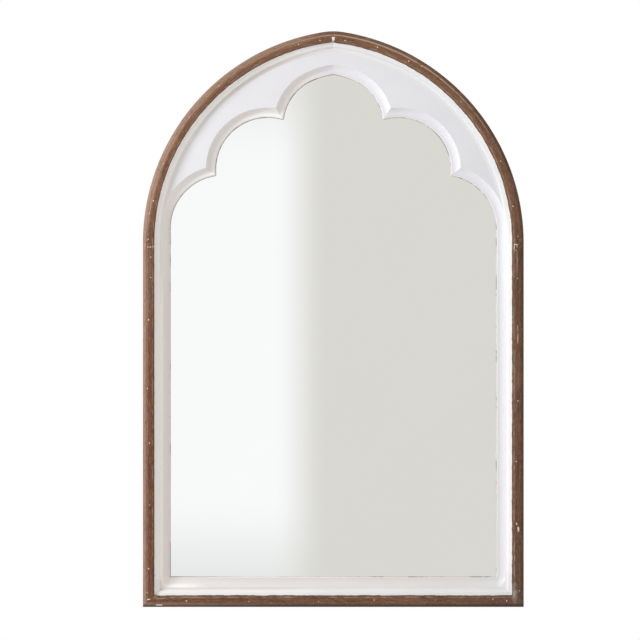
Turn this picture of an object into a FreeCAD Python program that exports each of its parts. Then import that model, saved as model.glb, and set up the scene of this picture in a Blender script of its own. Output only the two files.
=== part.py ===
import FreeCAD, Part

import os
from math import acos, atan2, cos, degrees, pi, radians, sin, sqrt

# Arched wall mirror. Millimetres. X is across, Z is up, and the front faces -Y.
# It is drawn with the bottom edge at height 0 and the back of the frame at level 0, where a level
# counts towards the front. save() then moves each piece to the mirror's own frame, whose origin is on
# the wall, midway between the two places where the wall hooks bear.

# The whole outline
overall_width = 610.0
spring_height = 583.0
arch_height = 340.0

# Trim: an L-shaped wooden moulding that caps the front and the side of the frame
trim_width = 18.0
trim_front_thickness = 12.0
trim_side_thickness = 6.0
trim_reveal_height = 5.0
shoulder_width = 5.3
shoulder_height = 4.6
shoulder_swell_depth = 1.1
shoulder_facets = 2
arris_depth = 1.3
face_swell_depth = 1.0
face_facets = 2
inner_edge_depth = 0.7
inner_edge_width = 2.2
apex_notch_width = 6.0
apex_notch_length = 8.5
apex_notch_depth = 5.0
apex_strip_depth = 0.9

# Frame: five rails with a sloping band in front and two steps behind, for the panel and the back
band_width = 8.0
band_fall_height = 3.0
foot_width = 3.0
foot_height = 4.0
foot_edge_height = 0.8
panel_overlap_width = 6.0
board_ledge_width = 10.0

# Tracery panel and its five-lobed opening
panel_thickness = 15.0
panel_clearance = 0.5
stile_margin = 15.0
sill_margin = 19.0
cove_width = 16.0
cove_depth = 9.0
cove_radius = 15.0
lip_width = 2.7
lip_thickness = 2.0
quirk_height = 0.6

# Glass, cushion tape and back
glass_thickness = 3.0
glass_margin = 9.0
glass_clearance = 0.75
tape_thickness = 1.0
tape_width = 20.0
tape_end_margin = 62.0
tape_spacing = 170.0
board_thickness = 3.0
board_clearance = 0.5

# Screws through the back
screw_shank_radius = 1.6
screw_shank_sides = 6
screw_head_radius = 3.3
screw_head_height = 1.8
screw_head_sides = 10
screw_length = 12.0

# Brads and the putty over them
brad_length = 22.0
brad_thickness = 1.0
brad_breadth = 1.3
putty_radius = 1.4
putty_sides = 6
putty_depth = 2.6
putty_recess_depth = 0.55

# V-shaped nails across the joints of the frame
nail_leg_length = 6.0
nail_thickness = 0.6
nail_height = 10.0
nail_clearance = 0.05

# Strap hangers and their rings
hanger_offset = 43.0
strap_width = 12.0
strap_thickness = 1.0
strap_length = 29.0
strap_lap_length = 12.0
strap_joggle_length = 4.6
lower_screw_offset = 8.0
upper_screw_offset = 21.0
ring_wire_radius = 1.2
ring_wire_sides = 8
ring_half_width = 11.0
ring_corner_radius = 3.0
ring_corner_facets = 3
ring_bow_facets = 8
loop_sides = 16
ring_clearance = 0.08
hanger_screw_length = 15.0

# Wall bumpers
bumper_radius = 6.5
bumper_sides = 14
bumper_thickness = 5.0
bumper_inset = 21.0

# One overrun for every cut
overrun = 5.0

# Corners of the right half of the opening, from the stile's top by way of the two cusps to the
# apex, as shares of the opening's half width and of the arch's height
foil_corner_shares = [(1.0, 0.0691), (0.7179, 0.3169), (0.3034, 0.5791), (0.1255, 0.7665), (0.0, 0.7941)]
middle_foil_bulge_share = 0.275
crown_foil_bulge_share = 0.1383

# Places along a run, from its lower or left end, and across the trim, from its outer edge
left_arch_brad_shares = [
    (0.012, 0.49), (0.097, 0.40), (0.140, 0.57), (0.267, 0.48),
    (0.443, 0.43), (0.584, 0.44), (0.882, 0.61), (0.955, 0.70),
]
right_arch_brad_shares = [
    (0.022, 0.52), (0.123, 0.68), (0.278, 0.58), (0.515, 0.64),
    (0.692, 0.43), (0.736, 0.61), (0.850, 0.60), (0.960, 0.73),
]
left_stile_brad_shares = [(0.040, 0.38), (0.106, 0.52), (0.789, 0.52), (0.905, 0.72), (0.961, 0.72)]
right_stile_brad_shares = [(0.045, 0.40), (0.980, 0.70)]
bottom_brad_shares = [(0.115, 0.56), (0.919, 0.72), (0.955, 0.56)]
stile_screw_shares = [0.22, 0.60]
arch_screw_shares = [0.18, 0.74]
bottom_screw_shares = [0.20, 0.50, 0.80]
arch_bumper_share = 0.34

# Worked out from the sizes above
half_width = overall_width / 2
arch_radius = (half_width ** 2 + arch_height ** 2) / overall_width
arch_centre_offset = arch_radius - half_width
board_front = board_thickness
seat_level = board_front + panel_thickness
band_low = seat_level + foot_height
band_top = band_low + band_fall_height
crown_level = band_top + trim_reveal_height
ledge_level = crown_level - trim_front_thickness
sight_inset = trim_width + band_width + foot_width
panel_wall_inset = sight_inset - panel_overlap_width
board_wall_inset = panel_wall_inset - board_ledge_width
body_inset = (board_wall_inset + panel_wall_inset) / 2
lip_top = seat_level - cove_depth
glass_front = lip_top - lip_thickness
glass_back = glass_front - glass_thickness
opening_half = half_width - sight_inset - stile_margin
opening_bottom = sight_inset + sill_margin
glass_inset = half_width - opening_half - glass_margin
glass_bottom = opening_bottom - glass_margin
loop_inner_radius = ring_wire_radius + ring_clearance
loop_outer_radius = loop_inner_radius + strap_thickness
hanger_x = half_width - body_inset
hanger_height = spring_height - hanger_offset
hook_height = hanger_height - loop_outer_radius
strap_screw_offsets = [lower_screw_offset, upper_screw_offset]
square = 90.0

X_AXIS = FreeCAD.Vector(1, 0, 0)
FRONT = FreeCAD.Vector(0, -1, 0)
UP = FreeCAD.Vector(0, 0, 1)
ORIGIN = FreeCAD.Vector(0, 0, 0)


def point(x, height, level=0.0):
    return FreeCAD.Vector(x, -level, height)


def line(start, end):
    return Part.LineSegment(start, end).toShape()


def rounded(start, end, towards, bulge, facets):
    """The corners of a round stretch whose middle stands out by bulge, without its far end."""
    out = FreeCAD.Vector(towards).normalize() * bulge
    shares = [i / facets for i in range(facets)]
    return [start + (end - start) * s + out * (4 * s * (1 - s)) for s in shares]


def face_of(edges):
    return Part.Face(Part.Wire(edges))


def polygon_face(corners):
    return Part.Face(Part.makePolygon(corners + corners[:1]))


def regular(sides, radius):
    """Corners of a regular polygon, as pairs, with its corners at the given radius."""
    angles = [2 * pi * (i + 0.5) / sides for i in range(sides)]
    return [(radius * cos(a), radius * sin(a)) for a in angles]


def raise_between(face, low, high):
    """Extrudes a face drawn at level 0 from one level to another."""
    solid = face.extrude(FRONT * (high - low))
    solid.translate(FRONT * low)
    return solid


def box_between(x_range, height_range, level_range):
    corners = [
        point(x_range[0], height_range[0]), point(x_range[1], height_range[0]),
        point(x_range[1], height_range[1]), point(x_range[0], height_range[1]),
    ]
    return raise_between(polygon_face(corners), *level_range)


def rod_between(sides, radius, place, low, high):
    """A rod with flat sides that runs from one level to another."""
    corners = [point(place.x + a, place.z + b) for a, b in regular(sides, radius)]
    return raise_between(polygon_face(corners), low, high)


def mirrored(shape):
    return shape.mirror(ORIGIN, X_AXIS)


def save(name, shape):
    placed = shape.copy()
    placed.translate(point(0, -hook_height, bumper_thickness))
    placed.exportStep("parts/%s.step" % name)


# Outline of the arch, and places along it

def arch_apex_height(inset):
    return spring_height + sqrt((arch_radius - inset) ** 2 - arch_centre_offset ** 2)


def arch_apex_angle(inset):
    return acos(arch_centre_offset / (arch_radius - inset))


def arch_point(side, inset, angle):
    reach = (arch_radius - inset) * cos(angle) - arch_centre_offset
    return point(side * reach, spring_height + (arch_radius - inset) * sin(angle))


def arch_face(inset, bottom):
    """The pointed arch, drawn in by inset at the sides and the arch, down to the given bottom."""
    side = half_width - inset
    apex = point(0, arch_apex_height(inset))
    haunch = arch_apex_angle(inset) / 2
    left_spring, right_spring = point(-side, spring_height), point(side, spring_height)
    low_left, low_right = point(-side, bottom), point(side, bottom)
    return face_of([
        line(low_left, low_right),
        line(low_right, right_spring),
        Part.Arc(right_spring, arch_point(1, inset, haunch), apex).toShape(),
        Part.Arc(apex, arch_point(-1, inset, haunch), left_spring).toShape(),
        line(left_spring, low_left),
    ])


def on_stile(side, inset, share):
    return point(side * (half_width - inset), share * spring_height)


def on_arch(side, inset, share):
    return arch_point(side, inset, share * arch_apex_angle(inset))


def on_bottom(inset, share):
    return point(share * overall_width - half_width, inset)


# Rails: a section is drawn across the left stile, then run up, round or along

def trim_section(place):
    """The trim's section: side, shoulder, arris, crowned face, eased inner edge and rebate."""
    here = place(0, 0)
    outward, forward = place(-1, 1) - here, place(0, 1) - here
    arris_level = crown_level - arris_depth
    face_level = crown_level - inner_edge_depth
    shoulder = place(0, arris_level - shoulder_height)
    arris = place(shoulder_width, arris_level)
    face_end = place(trim_width - inner_edge_width, face_level)
    edge_end = place(trim_width, face_level - inner_edge_width)
    corners = [here]
    corners += rounded(shoulder, arris, outward, shoulder_swell_depth, shoulder_facets)
    corners += rounded(arris, face_end, forward, face_swell_depth, face_facets)
    corners += [
        face_end, edge_end, place(trim_width, ledge_level),
        place(trim_side_thickness, ledge_level), place(trim_side_thickness, 0),
    ]
    return polygon_face(corners)


def frame_section(place):
    """The frame's section: seat of the trim, sloping band, steep foot and the two steps behind."""
    return polygon_face([
        place(trim_side_thickness, 0), place(trim_side_thickness, ledge_level),
        place(trim_width, ledge_level), place(trim_width, band_top),
        place(trim_width + band_width, band_low), place(sight_inset, seat_level + foot_edge_height),
        place(sight_inset, seat_level), place(panel_wall_inset, seat_level),
        place(panel_wall_inset, board_front), place(board_wall_inset, board_front),
        place(board_wall_inset, 0),
    ])


def left_stile(section):
    """Runs the section up the left side and mitres its foot."""
    reach = sight_inset + overrun
    across = section(lambda inset, level: point(inset - half_width, 0, level))
    rail = across.extrude(UP * spring_height)
    below_mitre = polygon_face([
        point(-half_width - overrun, -overrun), point(reach - half_width, reach),
        point(reach - half_width, -overrun),
    ])
    return rail.cut(raise_between(below_mitre, -overrun, crown_level + overrun))


def left_arch(section):
    """Turns the section about the arch's centre and stops it at the middle."""
    across = section(lambda inset, level: point(inset - half_width, spring_height, level))
    centre = point(arch_centre_offset, spring_height)
    sweep = max(arch_apex_angle(0), arch_apex_angle(sight_inset)) + overrun / half_width
    turned = across.revolve(centre, FreeCAD.Vector(0, 1, 0), degrees(sweep))
    past_middle = box_between(
        (0, half_width), (spring_height, spring_height + arch_radius + overrun),
        (-overrun, crown_level + overrun),
    )
    return turned.cut(past_middle)


def bottom_rail(section):
    """Runs the section along the bottom and mitres both ends."""
    reach = sight_inset + overrun
    across = section(lambda inset, level: point(-half_width, inset, level))
    rail = across.extrude(X_AXIS * overall_width)
    above_mitre = polygon_face([
        point(-half_width - overrun, -overrun), point(reach - half_width, reach),
        point(-half_width - overrun, reach),
    ])
    end = raise_between(above_mitre, -overrun, crown_level + overrun)
    return rail.cut([end, mirrored(end)])


def rails(section):
    stile, arch = left_stile(section), left_arch(section)
    return {
        "left_stile": stile, "right_stile": mirrored(stile), "bottom_rail": bottom_rail(section),
        "left_arch": arch, "right_arch": mirrored(arch),
    }


# Brads, putty and the apex strip

def brad_places():
    """The places of the brads on each rail."""
    def across(share):
        return share * trim_width
    return {
        "left_stile": [on_stile(-1, across(b), a) for a, b in left_stile_brad_shares],
        "right_stile": [on_stile(1, across(b), a) for a, b in right_stile_brad_shares],
        "bottom_rail": [on_bottom(across(b), a) for a, b in bottom_brad_shares],
        "left_arch": [on_arch(-1, across(b), a) for a, b in left_arch_brad_shares],
        "right_arch": [on_arch(1, across(b), a) for a, b in right_arch_brad_shares],
    }


def brad_at(place):
    top = crown_level - putty_depth
    half_t, half_b = brad_thickness / 2, brad_breadth / 2
    return box_between(
        (place.x - half_t, place.x + half_t), (place.z - half_b, place.z + half_b),
        (top - brad_length, top),
    )


def putty_hole_at(place):
    return rod_between(putty_sides, putty_radius, place, crown_level - putty_depth, crown_level + overrun)


def putty_at(place):
    return rod_between(
        putty_sides, putty_radius, place, crown_level - putty_depth, crown_level - putty_recess_depth)


def apex_block(low, top):
    """The notch across the joint at the apex, or the strip in it, from a height up to a level."""
    half = apex_notch_width / 2
    high = arch_apex_height(trim_width) + apex_notch_length
    return box_between((-half, half), (low, high), (crown_level - apex_notch_depth, top))


def apex_notch():
    return apex_block(arch_apex_height(trim_width) - overrun, crown_level + overrun)


def apex_strip():
    return apex_block(arch_apex_height(trim_width), crown_level - apex_strip_depth)


# V-shaped nails: joint places, and the direction of each joint line

def nail_places():
    """Where each nail straddles a joint, and the angle of the joint line from +X."""
    spring = half_width - body_inset
    return [
        (point(-spring, body_inset), 45.0),
        (point(spring, body_inset), 135.0),
        (point(-spring, spring_height), 0.0),
        (point(spring, spring_height), 180.0),
        (point(0, arch_apex_height(body_inset)), 90.0),
    ]


def v_nail(clearance):
    """One nail with its point at the origin and its legs at 45 degrees to the joint line."""
    half = nail_thickness / 2 + clearance
    leg = box_between(
        (-half, nail_leg_length + clearance), (-half, half), (board_front, board_front + nail_height))
    other = leg.copy()
    leg.rotate(ORIGIN, FRONT, square / 2)
    other.rotate(ORIGIN, FRONT, -square / 2)
    nail = leg.fuse(other).removeSplitter()
    nail.translate(point(-nail_leg_length / 2, 0))
    return nail


def v_nails(clearance):
    nails = []
    for place, angle in nail_places():
        nail = v_nail(clearance)
        nail.rotate(ORIGIN, FRONT, angle)
        nail.translate(place)
        nails.append(nail)
    return nails


# Screws

def screw_at(place, under_head, length):
    """A pan-head screw that goes forward from the level under its head."""
    shank = rod_between(screw_shank_sides, screw_shank_radius, place, under_head, under_head + length)
    head = rod_between(
        screw_head_sides, screw_head_radius, place, under_head - screw_head_height, under_head)
    return shank.fuse(head).removeSplitter()


def screw_hole_at(place, low, high):
    return rod_between(screw_shank_sides, screw_shank_radius, place, low, high)


def backing_screw_places():
    places = [on_bottom(body_inset, a) for a in bottom_screw_shares]
    for side in (-1, 1):
        places += [on_stile(side, body_inset, a) for a in stile_screw_shares]
        places += [on_arch(side, body_inset, a) for a in arch_screw_shares]
    return places


def hanger_screw_places():
    return [
        point(side * hanger_x, hanger_height + up) for side in (-1, 1) for up in strap_screw_offsets
    ]


def pilot_holes():
    holes = [screw_hole_at(p, -overrun, screw_length) for p in backing_screw_places()]
    hanger_reach = hanger_screw_length - strap_thickness
    return holes + [screw_hole_at(p, -overrun, hanger_reach) for p in hanger_screw_places()]


# Tracery panel

def bulged_centre(start, end, share):
    """Centre of the arc that stands out to the right of its chord by a share of the chord."""
    chord = end - start
    return (start + end) * 0.5 + point(-chord.z, chord.x) * (1 / (8 * share) - share / 2)


def tangent_centre(start, end, inward):
    """Centre of the arc through two points that lies in a known direction from the first."""
    chord = end - start
    return start + inward * (chord.dot(chord) / (2 * chord.dot(inward)))


def bearing(centre, place):
    return degrees(atan2(place.z - centre.z, place.x - centre.x))


def on_circle(centre, radius, angle):
    return centre + point(radius * cos(radians(angle)), radius * sin(radians(angle)))


def foil_corners():
    return [
        point(across * opening_half, spring_height + up * arch_height)
        for across, up in foil_corner_shares
    ]


def foils():
    """The arcs of the right half of the opening, from the stile up: centre, radius, from and to."""
    stile, low_cusp, high_cusp, turn, apex = foil_corners()
    middle = bulged_centre(low_cusp, high_cusp, middle_foil_bulge_share)
    crown = bulged_centre(high_cusp, turn, crown_foil_bulge_share)
    arcs = [
        (tangent_centre(stile, low_cusp, -X_AXIS), stile, low_cusp),
        (middle, low_cusp, high_cusp),
        (crown, high_cusp, turn),
        (tangent_centre(turn, apex, crown - turn), turn, apex),
    ]
    return [(c, (a - c).Length, bearing(c, a), bearing(c, b)) for c, a, b in arcs]


def opening_face():
    """The five-lobed opening: sill, stiles and foils."""
    edges = []
    for centre, radius, start, end in foils():
        ends = [on_circle(centre, radius, a) for a in (start, (start + end) / 2, end)]
        edges.append(Part.Arc(*ends).toShape())
    low_left, low_right = point(-opening_half, opening_bottom), point(opening_half, opening_bottom)
    right = [line(low_right, foil_corners()[0])] + edges
    left = [mirrored(e) for e in right]
    sill = line(low_left, low_right)
    return Part.Face(Part.Wire(Part.__sortEdges__([sill] + right + left)))


def cove_section(start):
    """What the cove takes away beside an edge of the opening at x 0, from x start outwards."""
    top = seat_level + overrun
    toe = point(lip_width, 0, lip_top + quirk_height)
    arris = point(cove_width, 0, seat_level)
    chord = arris - toe
    sagitta = cove_radius - sqrt(cove_radius ** 2 - (chord.Length / 2) ** 2)
    corners = [
        arris, point(cove_width, 0, top), point(start, 0, top), point(start, 0, lip_top),
        point(lip_width, 0, lip_top), toe,
    ]
    edges = [line(a, b) for a, b in zip(corners, corners[1:])]
    below = FreeCAD.Vector(-chord.y, chord.x, 0).normalize() * sagitta
    edges.append(Part.Arc(toe, (toe + arris) * 0.5 + below, arris).toShape())
    return face_of(edges)


def turned_cove(centre, radius, start, end):
    section = cove_section(-min(radius, overrun))
    section.translate(centre + point(radius, 0))
    cutter = section.revolve(centre, FRONT, end - start)
    cutter.rotate(centre, FRONT, start)
    return cutter


def straight_cove(start, length, angle):
    cutter = cove_section(-overrun).extrude(UP * length)
    cutter.rotate(ORIGIN, FRONT, angle)
    cutter.translate(start)
    return cutter


def cove_cutters():
    """The cove along every edge of the opening. At a cusp two coves run on and cross."""
    arcs = foils()
    ends_at_cusp = [(False, True), (True, True), (True, False), (False, False)]
    right = []
    for (centre, radius, start, end), (low, high) in zip(arcs, ends_at_cusp):
        past_cusp = degrees(overrun / radius)
        right.append(turned_cove(centre, radius, start - past_cusp * low, end + past_cusp * high))
    stile, apex = foil_corners()[0], foil_corners()[-1]
    low_right = point(opening_half, opening_bottom)
    right.append(straight_cove(low_right, stile.z - opening_bottom, 0))
    right.append(turned_cove(low_right, 0, -square, 0))
    tilt = arcs[-1][3]
    middle = [
        turned_cove(apex, 0, tilt, 2 * square - tilt),
        straight_cove(point(-opening_half, opening_bottom), 2 * opening_half, -square),
    ]
    return right + [mirrored(c) for c in right] + middle


def tracery_panel():
    panel_inset = panel_wall_inset + panel_clearance
    panel = raise_between(arch_face(panel_inset, panel_inset), board_front, seat_level)
    pocket_inset = glass_inset - glass_clearance
    pocket = raise_between(
        arch_face(pocket_inset, glass_bottom - glass_clearance), board_front - overrun, glass_front)
    opening = raise_between(opening_face(), 0, seat_level + overrun)
    return panel.cut(pocket).cut(opening).cut(cove_cutters())


# Glass, tape and back

def mirror_glass():
    return raise_between(arch_face(glass_inset, glass_bottom), glass_back, glass_front)


def cushion_tapes():
    height_range = (glass_bottom + tape_end_margin, spring_height - tape_end_margin)
    strips = []
    for place in (-1, 0, 1):
        x_range = [place * tape_spacing + half for half in (-tape_width / 2, tape_width / 2)]
        strips.append(box_between(x_range, height_range, (board_front, glass_back)))
    return strips


def backing_board():
    inset = board_wall_inset + board_clearance
    board = raise_between(arch_face(inset, inset), 0, board_thickness)
    return board.cut(pilot_holes())


# Hangers

def hanger_strap():
    """A strap folded round the ring's bar, drawn for a bar at height 0, with its back layer at level 0."""
    half = strap_width / 2
    lap_back = -2 * strap_thickness
    fold_back = -2 * loop_outer_radius

    def side_face(corners):
        return polygon_face([point(-half, z, level) for z, level in corners]).extrude(X_AXIS * strap_width)

    def barrel(radius):
        corners = regular(loop_sides, radius / cos(pi / loop_sides))
        return side_face([(z, across - loop_outer_radius) for z, across in corners])

    layer = side_face([(0, 0), (strap_length, 0), (strap_length, -strap_thickness), (0, -strap_thickness)])
    fold = side_face([
        (0, fold_back + strap_thickness), (0, fold_back), (strap_joggle_length, lap_back),
        (strap_lap_length, lap_back), (strap_lap_length, -strap_thickness),
        (strap_joggle_length, -strap_thickness),
    ])
    strap = layer.fuse([barrel(loop_outer_radius), fold]).cut(barrel(loop_inner_radius))
    nib = half / 2
    for side in (-1, 1):
        corner = polygon_face([
            point(side * half, strap_length), point(side * half, strap_length - nib),
            point(side * (half - nib), strap_length),
        ])
        strap = strap.cut(raise_between(corner, lap_back, overrun))
    holes = [screw_hole_at(point(0, up), lap_back - overrun, overrun) for up in strap_screw_offsets]
    return strap.cut(holes).removeSplitter()


def ring_stations():
    """Points round the ring, with the outward angle at each, from the top of its right corner."""
    level = -loop_outer_radius
    corner = point(ring_half_width - ring_corner_radius, -ring_corner_radius, level)
    bow = point(0, -ring_corner_radius, level)
    stations = []
    for i in range(ring_corner_facets + 1):
        angle = square * (1 - i / ring_corner_facets)
        stations.append((on_circle(corner, ring_corner_radius, angle), angle))
    for i in range(1, 2 * ring_bow_facets):
        angle = -square * i / ring_bow_facets
        stations.append((on_circle(bow, ring_half_width, angle), angle))
    mirror_side = [
        (point(-place.x, place.z, level), 2 * square - angle)
        for place, angle in reversed(stations[:ring_corner_facets + 1])
    ]
    return stations + mirror_side


def hanger_ring():
    """A D-shaped ring that hangs from its bar, drawn with the bar at height 0."""
    sections = []
    for place, angle in ring_stations():
        out = point(cos(radians(angle)), sin(radians(angle)))
        sections.append([
            place + out * a + FRONT * b for a, b in regular(ring_wire_sides, ring_wire_radius)])
    faces = []
    for near, far in zip(sections, sections[1:] + sections[:1]):
        for i in range(ring_wire_sides):
            faces.append(polygon_face([near[i - 1], near[i], far[i], far[i - 1]]))
    return Part.makeSolid(Part.makeShell(faces))


def hang(shape, side):
    placed = shape.copy()
    placed.translate(point(side * hanger_x, hanger_height))
    return placed


def hanger_screws():
    screws = []
    for place in hanger_screw_places():
        layers = 2 if place.z - hanger_height < strap_lap_length else 1
        screws.append(screw_at(place, -layers * strap_thickness, hanger_screw_length))
    return screws


# Bumpers

def wall_bumpers():
    places = [point(side * (half_width - bumper_inset), bumper_inset) for side in (-1, 1)]
    places += [on_arch(side, bumper_inset, arch_bumper_share) for side in (-1, 1)]
    return [rod_between(bumper_sides, bumper_radius, p, -bumper_thickness, 0) for p in places]


def save_rails():
    """Writes the trim, its putty and its brads, and the frame's rails with their holes."""
    trim, frame = rails(trim_section), rails(frame_section)
    places = brad_places()
    notch = apex_notch()
    brads, putty = [], []
    slots = v_nails(nail_clearance)
    for name in trim:
        own_brads = [brad_at(p) for p in places[name]]
        holes = [putty_hole_at(p) for p in places[name]]
        brads += own_brads
        putty += [putty_at(p) for p in places[name]]
        save("trim_" + name, trim[name].cut(own_brads + holes + [notch]))
        save("frame_" + name, frame[name].cut(own_brads + slots + pilot_holes()))
    save("trim_brads", Part.makeCompound(brads))
    save("brad_fillers", Part.makeCompound(putty))
    save("trim_apex_filler", apex_strip())
    save("frame_v_nails", Part.makeCompound(v_nails(0.0)))


def save_hangers():
    strap, ring = hanger_strap(), hanger_ring()
    for name, side in (("left", -1), ("right", 1)):
        save(name + "_hanger_strap", hang(strap, side))
        save(name + "_hanger_ring", hang(ring, side))
    save("hanger_screws", Part.makeCompound(hanger_screws()))


def main():
    os.makedirs("parts", exist_ok=True)
    save_rails()
    save("tracery_panel", tracery_panel())
    save("mirror_glass", mirror_glass())
    save("cushion_tapes", Part.makeCompound(cushion_tapes()))
    save("backing_board", backing_board())
    save("backing_screws", Part.makeCompound(
        [screw_at(p, 0.0, screw_length) for p in backing_screw_places()]))
    save_hangers()
    save("wall_bumpers", Part.makeCompound(wall_bumpers()))


main()
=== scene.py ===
import random
from math import acos, atan2, cos, hypot, pi, radians, sin, sqrt
from types import SimpleNamespace

import bmesh
import bpy
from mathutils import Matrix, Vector, noise
from mathutils.geometry import tessellate_polygon


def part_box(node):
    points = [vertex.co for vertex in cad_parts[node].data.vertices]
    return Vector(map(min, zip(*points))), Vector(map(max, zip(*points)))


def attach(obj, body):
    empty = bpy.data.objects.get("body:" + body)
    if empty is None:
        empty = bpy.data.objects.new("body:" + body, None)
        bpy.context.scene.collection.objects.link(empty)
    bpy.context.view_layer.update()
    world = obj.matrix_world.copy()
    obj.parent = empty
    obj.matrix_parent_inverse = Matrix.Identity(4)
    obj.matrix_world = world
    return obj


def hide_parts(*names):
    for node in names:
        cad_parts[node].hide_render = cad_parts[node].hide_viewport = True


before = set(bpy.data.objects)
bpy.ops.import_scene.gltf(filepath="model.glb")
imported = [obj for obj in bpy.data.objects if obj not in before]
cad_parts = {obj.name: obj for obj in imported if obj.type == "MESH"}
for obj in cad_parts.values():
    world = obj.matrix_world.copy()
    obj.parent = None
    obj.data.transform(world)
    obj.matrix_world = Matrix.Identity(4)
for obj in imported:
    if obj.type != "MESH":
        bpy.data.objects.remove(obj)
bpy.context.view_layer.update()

# Sizes in millimetres. Heights start at the bottom edge and levels at the back of the frame, and a
# level counts towards the front. at() turns them into the mirror's own frame, in metres.
MM = 0.001
HALF, SPRING, ARCH_HEIGHT = 305.0, 583.0, 340.0
RADIUS = (HALF ** 2 + ARCH_HEIGHT ** 2) / (2 * HALF)
OFFSET = RADIUS - HALF
HOOK_HEIGHT, BACK_GAP = 537.72, 5.0
TRIM_FRONT, SEAT_LEVEL = 30.0, 18.0
PANEL_INSET, BOARD_FRONT = 23.5, 3.0
OPENING_HALF, OPENING_BOTTOM = 261.0, 48.0
POCKET_INSET, POCKET_BOTTOM, LIP_BACK = 34.25, 38.25, 7.0
FOIL_CORNER_SHARES = [(1.0, 0.0691), (0.7179, 0.3169), (0.3034, 0.5791), (0.1255, 0.7665), (0.0, 0.7941)]
MIDDLE_BULGE_SHARE, CROWN_BULGE_SHARE = 0.275, 0.1383
CUSP_RADIUS, LEAST_RADIUS = 3.0, 0.15


def at(x, height, level):
    return Vector((x * MM, -(level + BACK_GAP) * MM, (height - HOOK_HEIGHT) * MM))


# Meshes

def piece(name, verts, faces, material, slot, body="mirror", nodes=(), spots=None, sharp=34.0):
    """Makes one mesh piece, smooth but for its sharp edges, and says what it rides on and replaces."""
    mesh = bpy.data.meshes.new(name)
    mesh.from_pydata([tuple(v) for v in verts], [], faces)
    if spots:
        layer = mesh.attributes.new("spot", "FLOAT_VECTOR", "POINT")
        layer.data.foreach_set("vector", [c for s in spots for c in s])
    work = bmesh.new()
    work.from_mesh(mesh)
    bmesh.ops.remove_doubles(work, verts=work.verts, dist=1e-6)
    bmesh.ops.dissolve_degenerate(work, edges=work.edges, dist=1e-7)
    bmesh.ops.recalc_face_normals(work, faces=work.faces)
    work.to_mesh(mesh)
    work.free()
    mesh.shade_smooth()
    mesh.set_sharp_from_angle(angle=radians(sharp))
    made = bpy.data.objects.new(name, mesh)
    bpy.context.scene.collection.objects.link(made)
    mesh.materials.append(material)
    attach(made, body)
    if nodes:
        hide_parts(*nodes)


def stand_in(name, *parts, **settings):
    """Makes the piece that replaces one node and is named after it."""
    piece(name + "_shown", *parts, nodes=(name,), **settings)


def full_turn(count):
    """The bearings of so many points round a circle."""
    return [2 * pi * i / count for i in range(count)]


def band(low, high, count):
    """Quads between two closed loops of so many points, each given by the number of its first."""
    quads = []
    for i in range(count):
        k = (i + 1) % count
        quads.append((low + i, low + k, high + k, high + i))
    return quads


def tube(rows, columns, closed_rows=False):
    """Quads of a tube: each row is a closed loop of so many columns."""
    faces = []
    for j in range(rows if closed_rows else rows - 1):
        faces += band(j * columns, (j + 1) % rows * columns, columns)
    return faces


def capped_tube(rows, columns):
    """Faces of a tube that is closed at both ends."""
    last = (rows - 1) * columns
    return tube(rows, columns) + [tuple(range(columns)), tuple(range(last, last + columns))]


def bow(start, end, swell, count):
    """Points of a stretch whose middle stands out by swell to the left, without its far end."""
    dx, dy = end[0] - start[0], end[1] - start[1]
    span = hypot(dx, dy)
    points = []
    for i in range(count):
        s = i / count
        out = swell * 4 * s * (1 - s) / span
        points.append((start[0] + dx * s - dy * out, start[1] + dy * s + dx * out))
    return points


# The rails: a profile of (inset, level) pairs that runs along a path. A path gives x and height for a
# share of its way, from the lower or left end, and for an inset from the outer edge.

def apex_angle(inset):
    return acos(OFFSET / (RADIUS - inset))


def apex_height(inset):
    return SPRING + sqrt((RADIUS - inset) ** 2 - OFFSET ** 2)


def stile_path(side):
    return lambda share, inset: (side * (HALF - inset), inset + share * (SPRING - inset))


def arch_path(side):
    def place(share, inset):
        angle = share * apex_angle(inset)
        reach = RADIUS - inset
        return side * (reach * cos(angle) - OFFSET), SPRING + reach * sin(angle)
    return place


def bottom_path(share, inset):
    return (2 * share - 1) * (HALF - inset), inset


ARCH_LENGTH = RADIUS * apex_angle(0)
# Path, length and seed of each rail
RAILS = {
    "left_stile": (stile_path(-1), SPRING, 1.0), "right_stile": (stile_path(1), SPRING, 2.0),
    "left_arch": (arch_path(-1), ARCH_LENGTH, 3.0), "right_arch": (arch_path(1), ARCH_LENGTH, 4.0),
    "bottom_rail": (bottom_path, 2 * HALF, 5.0),
}
# How far each trim laps over the painted frame
TRIM_EDGES = {
    "left_stile": 18.5, "left_arch": 18.5, "right_stile": 19.2, "right_arch": 19.4, "bottom_rail": 19.2}


def trim_profile(edge):
    """The trim's section. Its inner edge laps over the painted frame as far as edge."""
    return (
        [(0.0, 0.0), (0.0, 12.0)]
        + bow((0.0, 24.1), (4.9, 28.5), 1.1, 9)
        + bow((4.9, 28.5), (5.9, 28.75), 0.15, 3)
        + [(6.15, 28.45), (6.55, 28.75)]
        + bow((6.8, 29.0), (15.6, 29.3), 0.7, 9)
        + bow((15.6, 29.3), (edge, 26.7), 0.62, 7)
        + [(edge, 26.7), (edge, 25.75), (18.0, 25.7), (18.0, 18.0), (6.0, 18.0), (6.0, 0.0)]
    )


TRIM_FACE = [
    (inset, level) for inset, level in trim_profile(18.5) if level > 26.5 or inset < 6 and level > 24]


def trim_level(inset):
    """The level of the trim's face."""
    for (a, low), (b, high) in zip(TRIM_FACE, TRIM_FACE[1:]):
        if a <= inset <= b and b > a:
            return low + (high - low) * (inset - a) / (b - a)
    return TRIM_FACE[-1][1]


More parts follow.
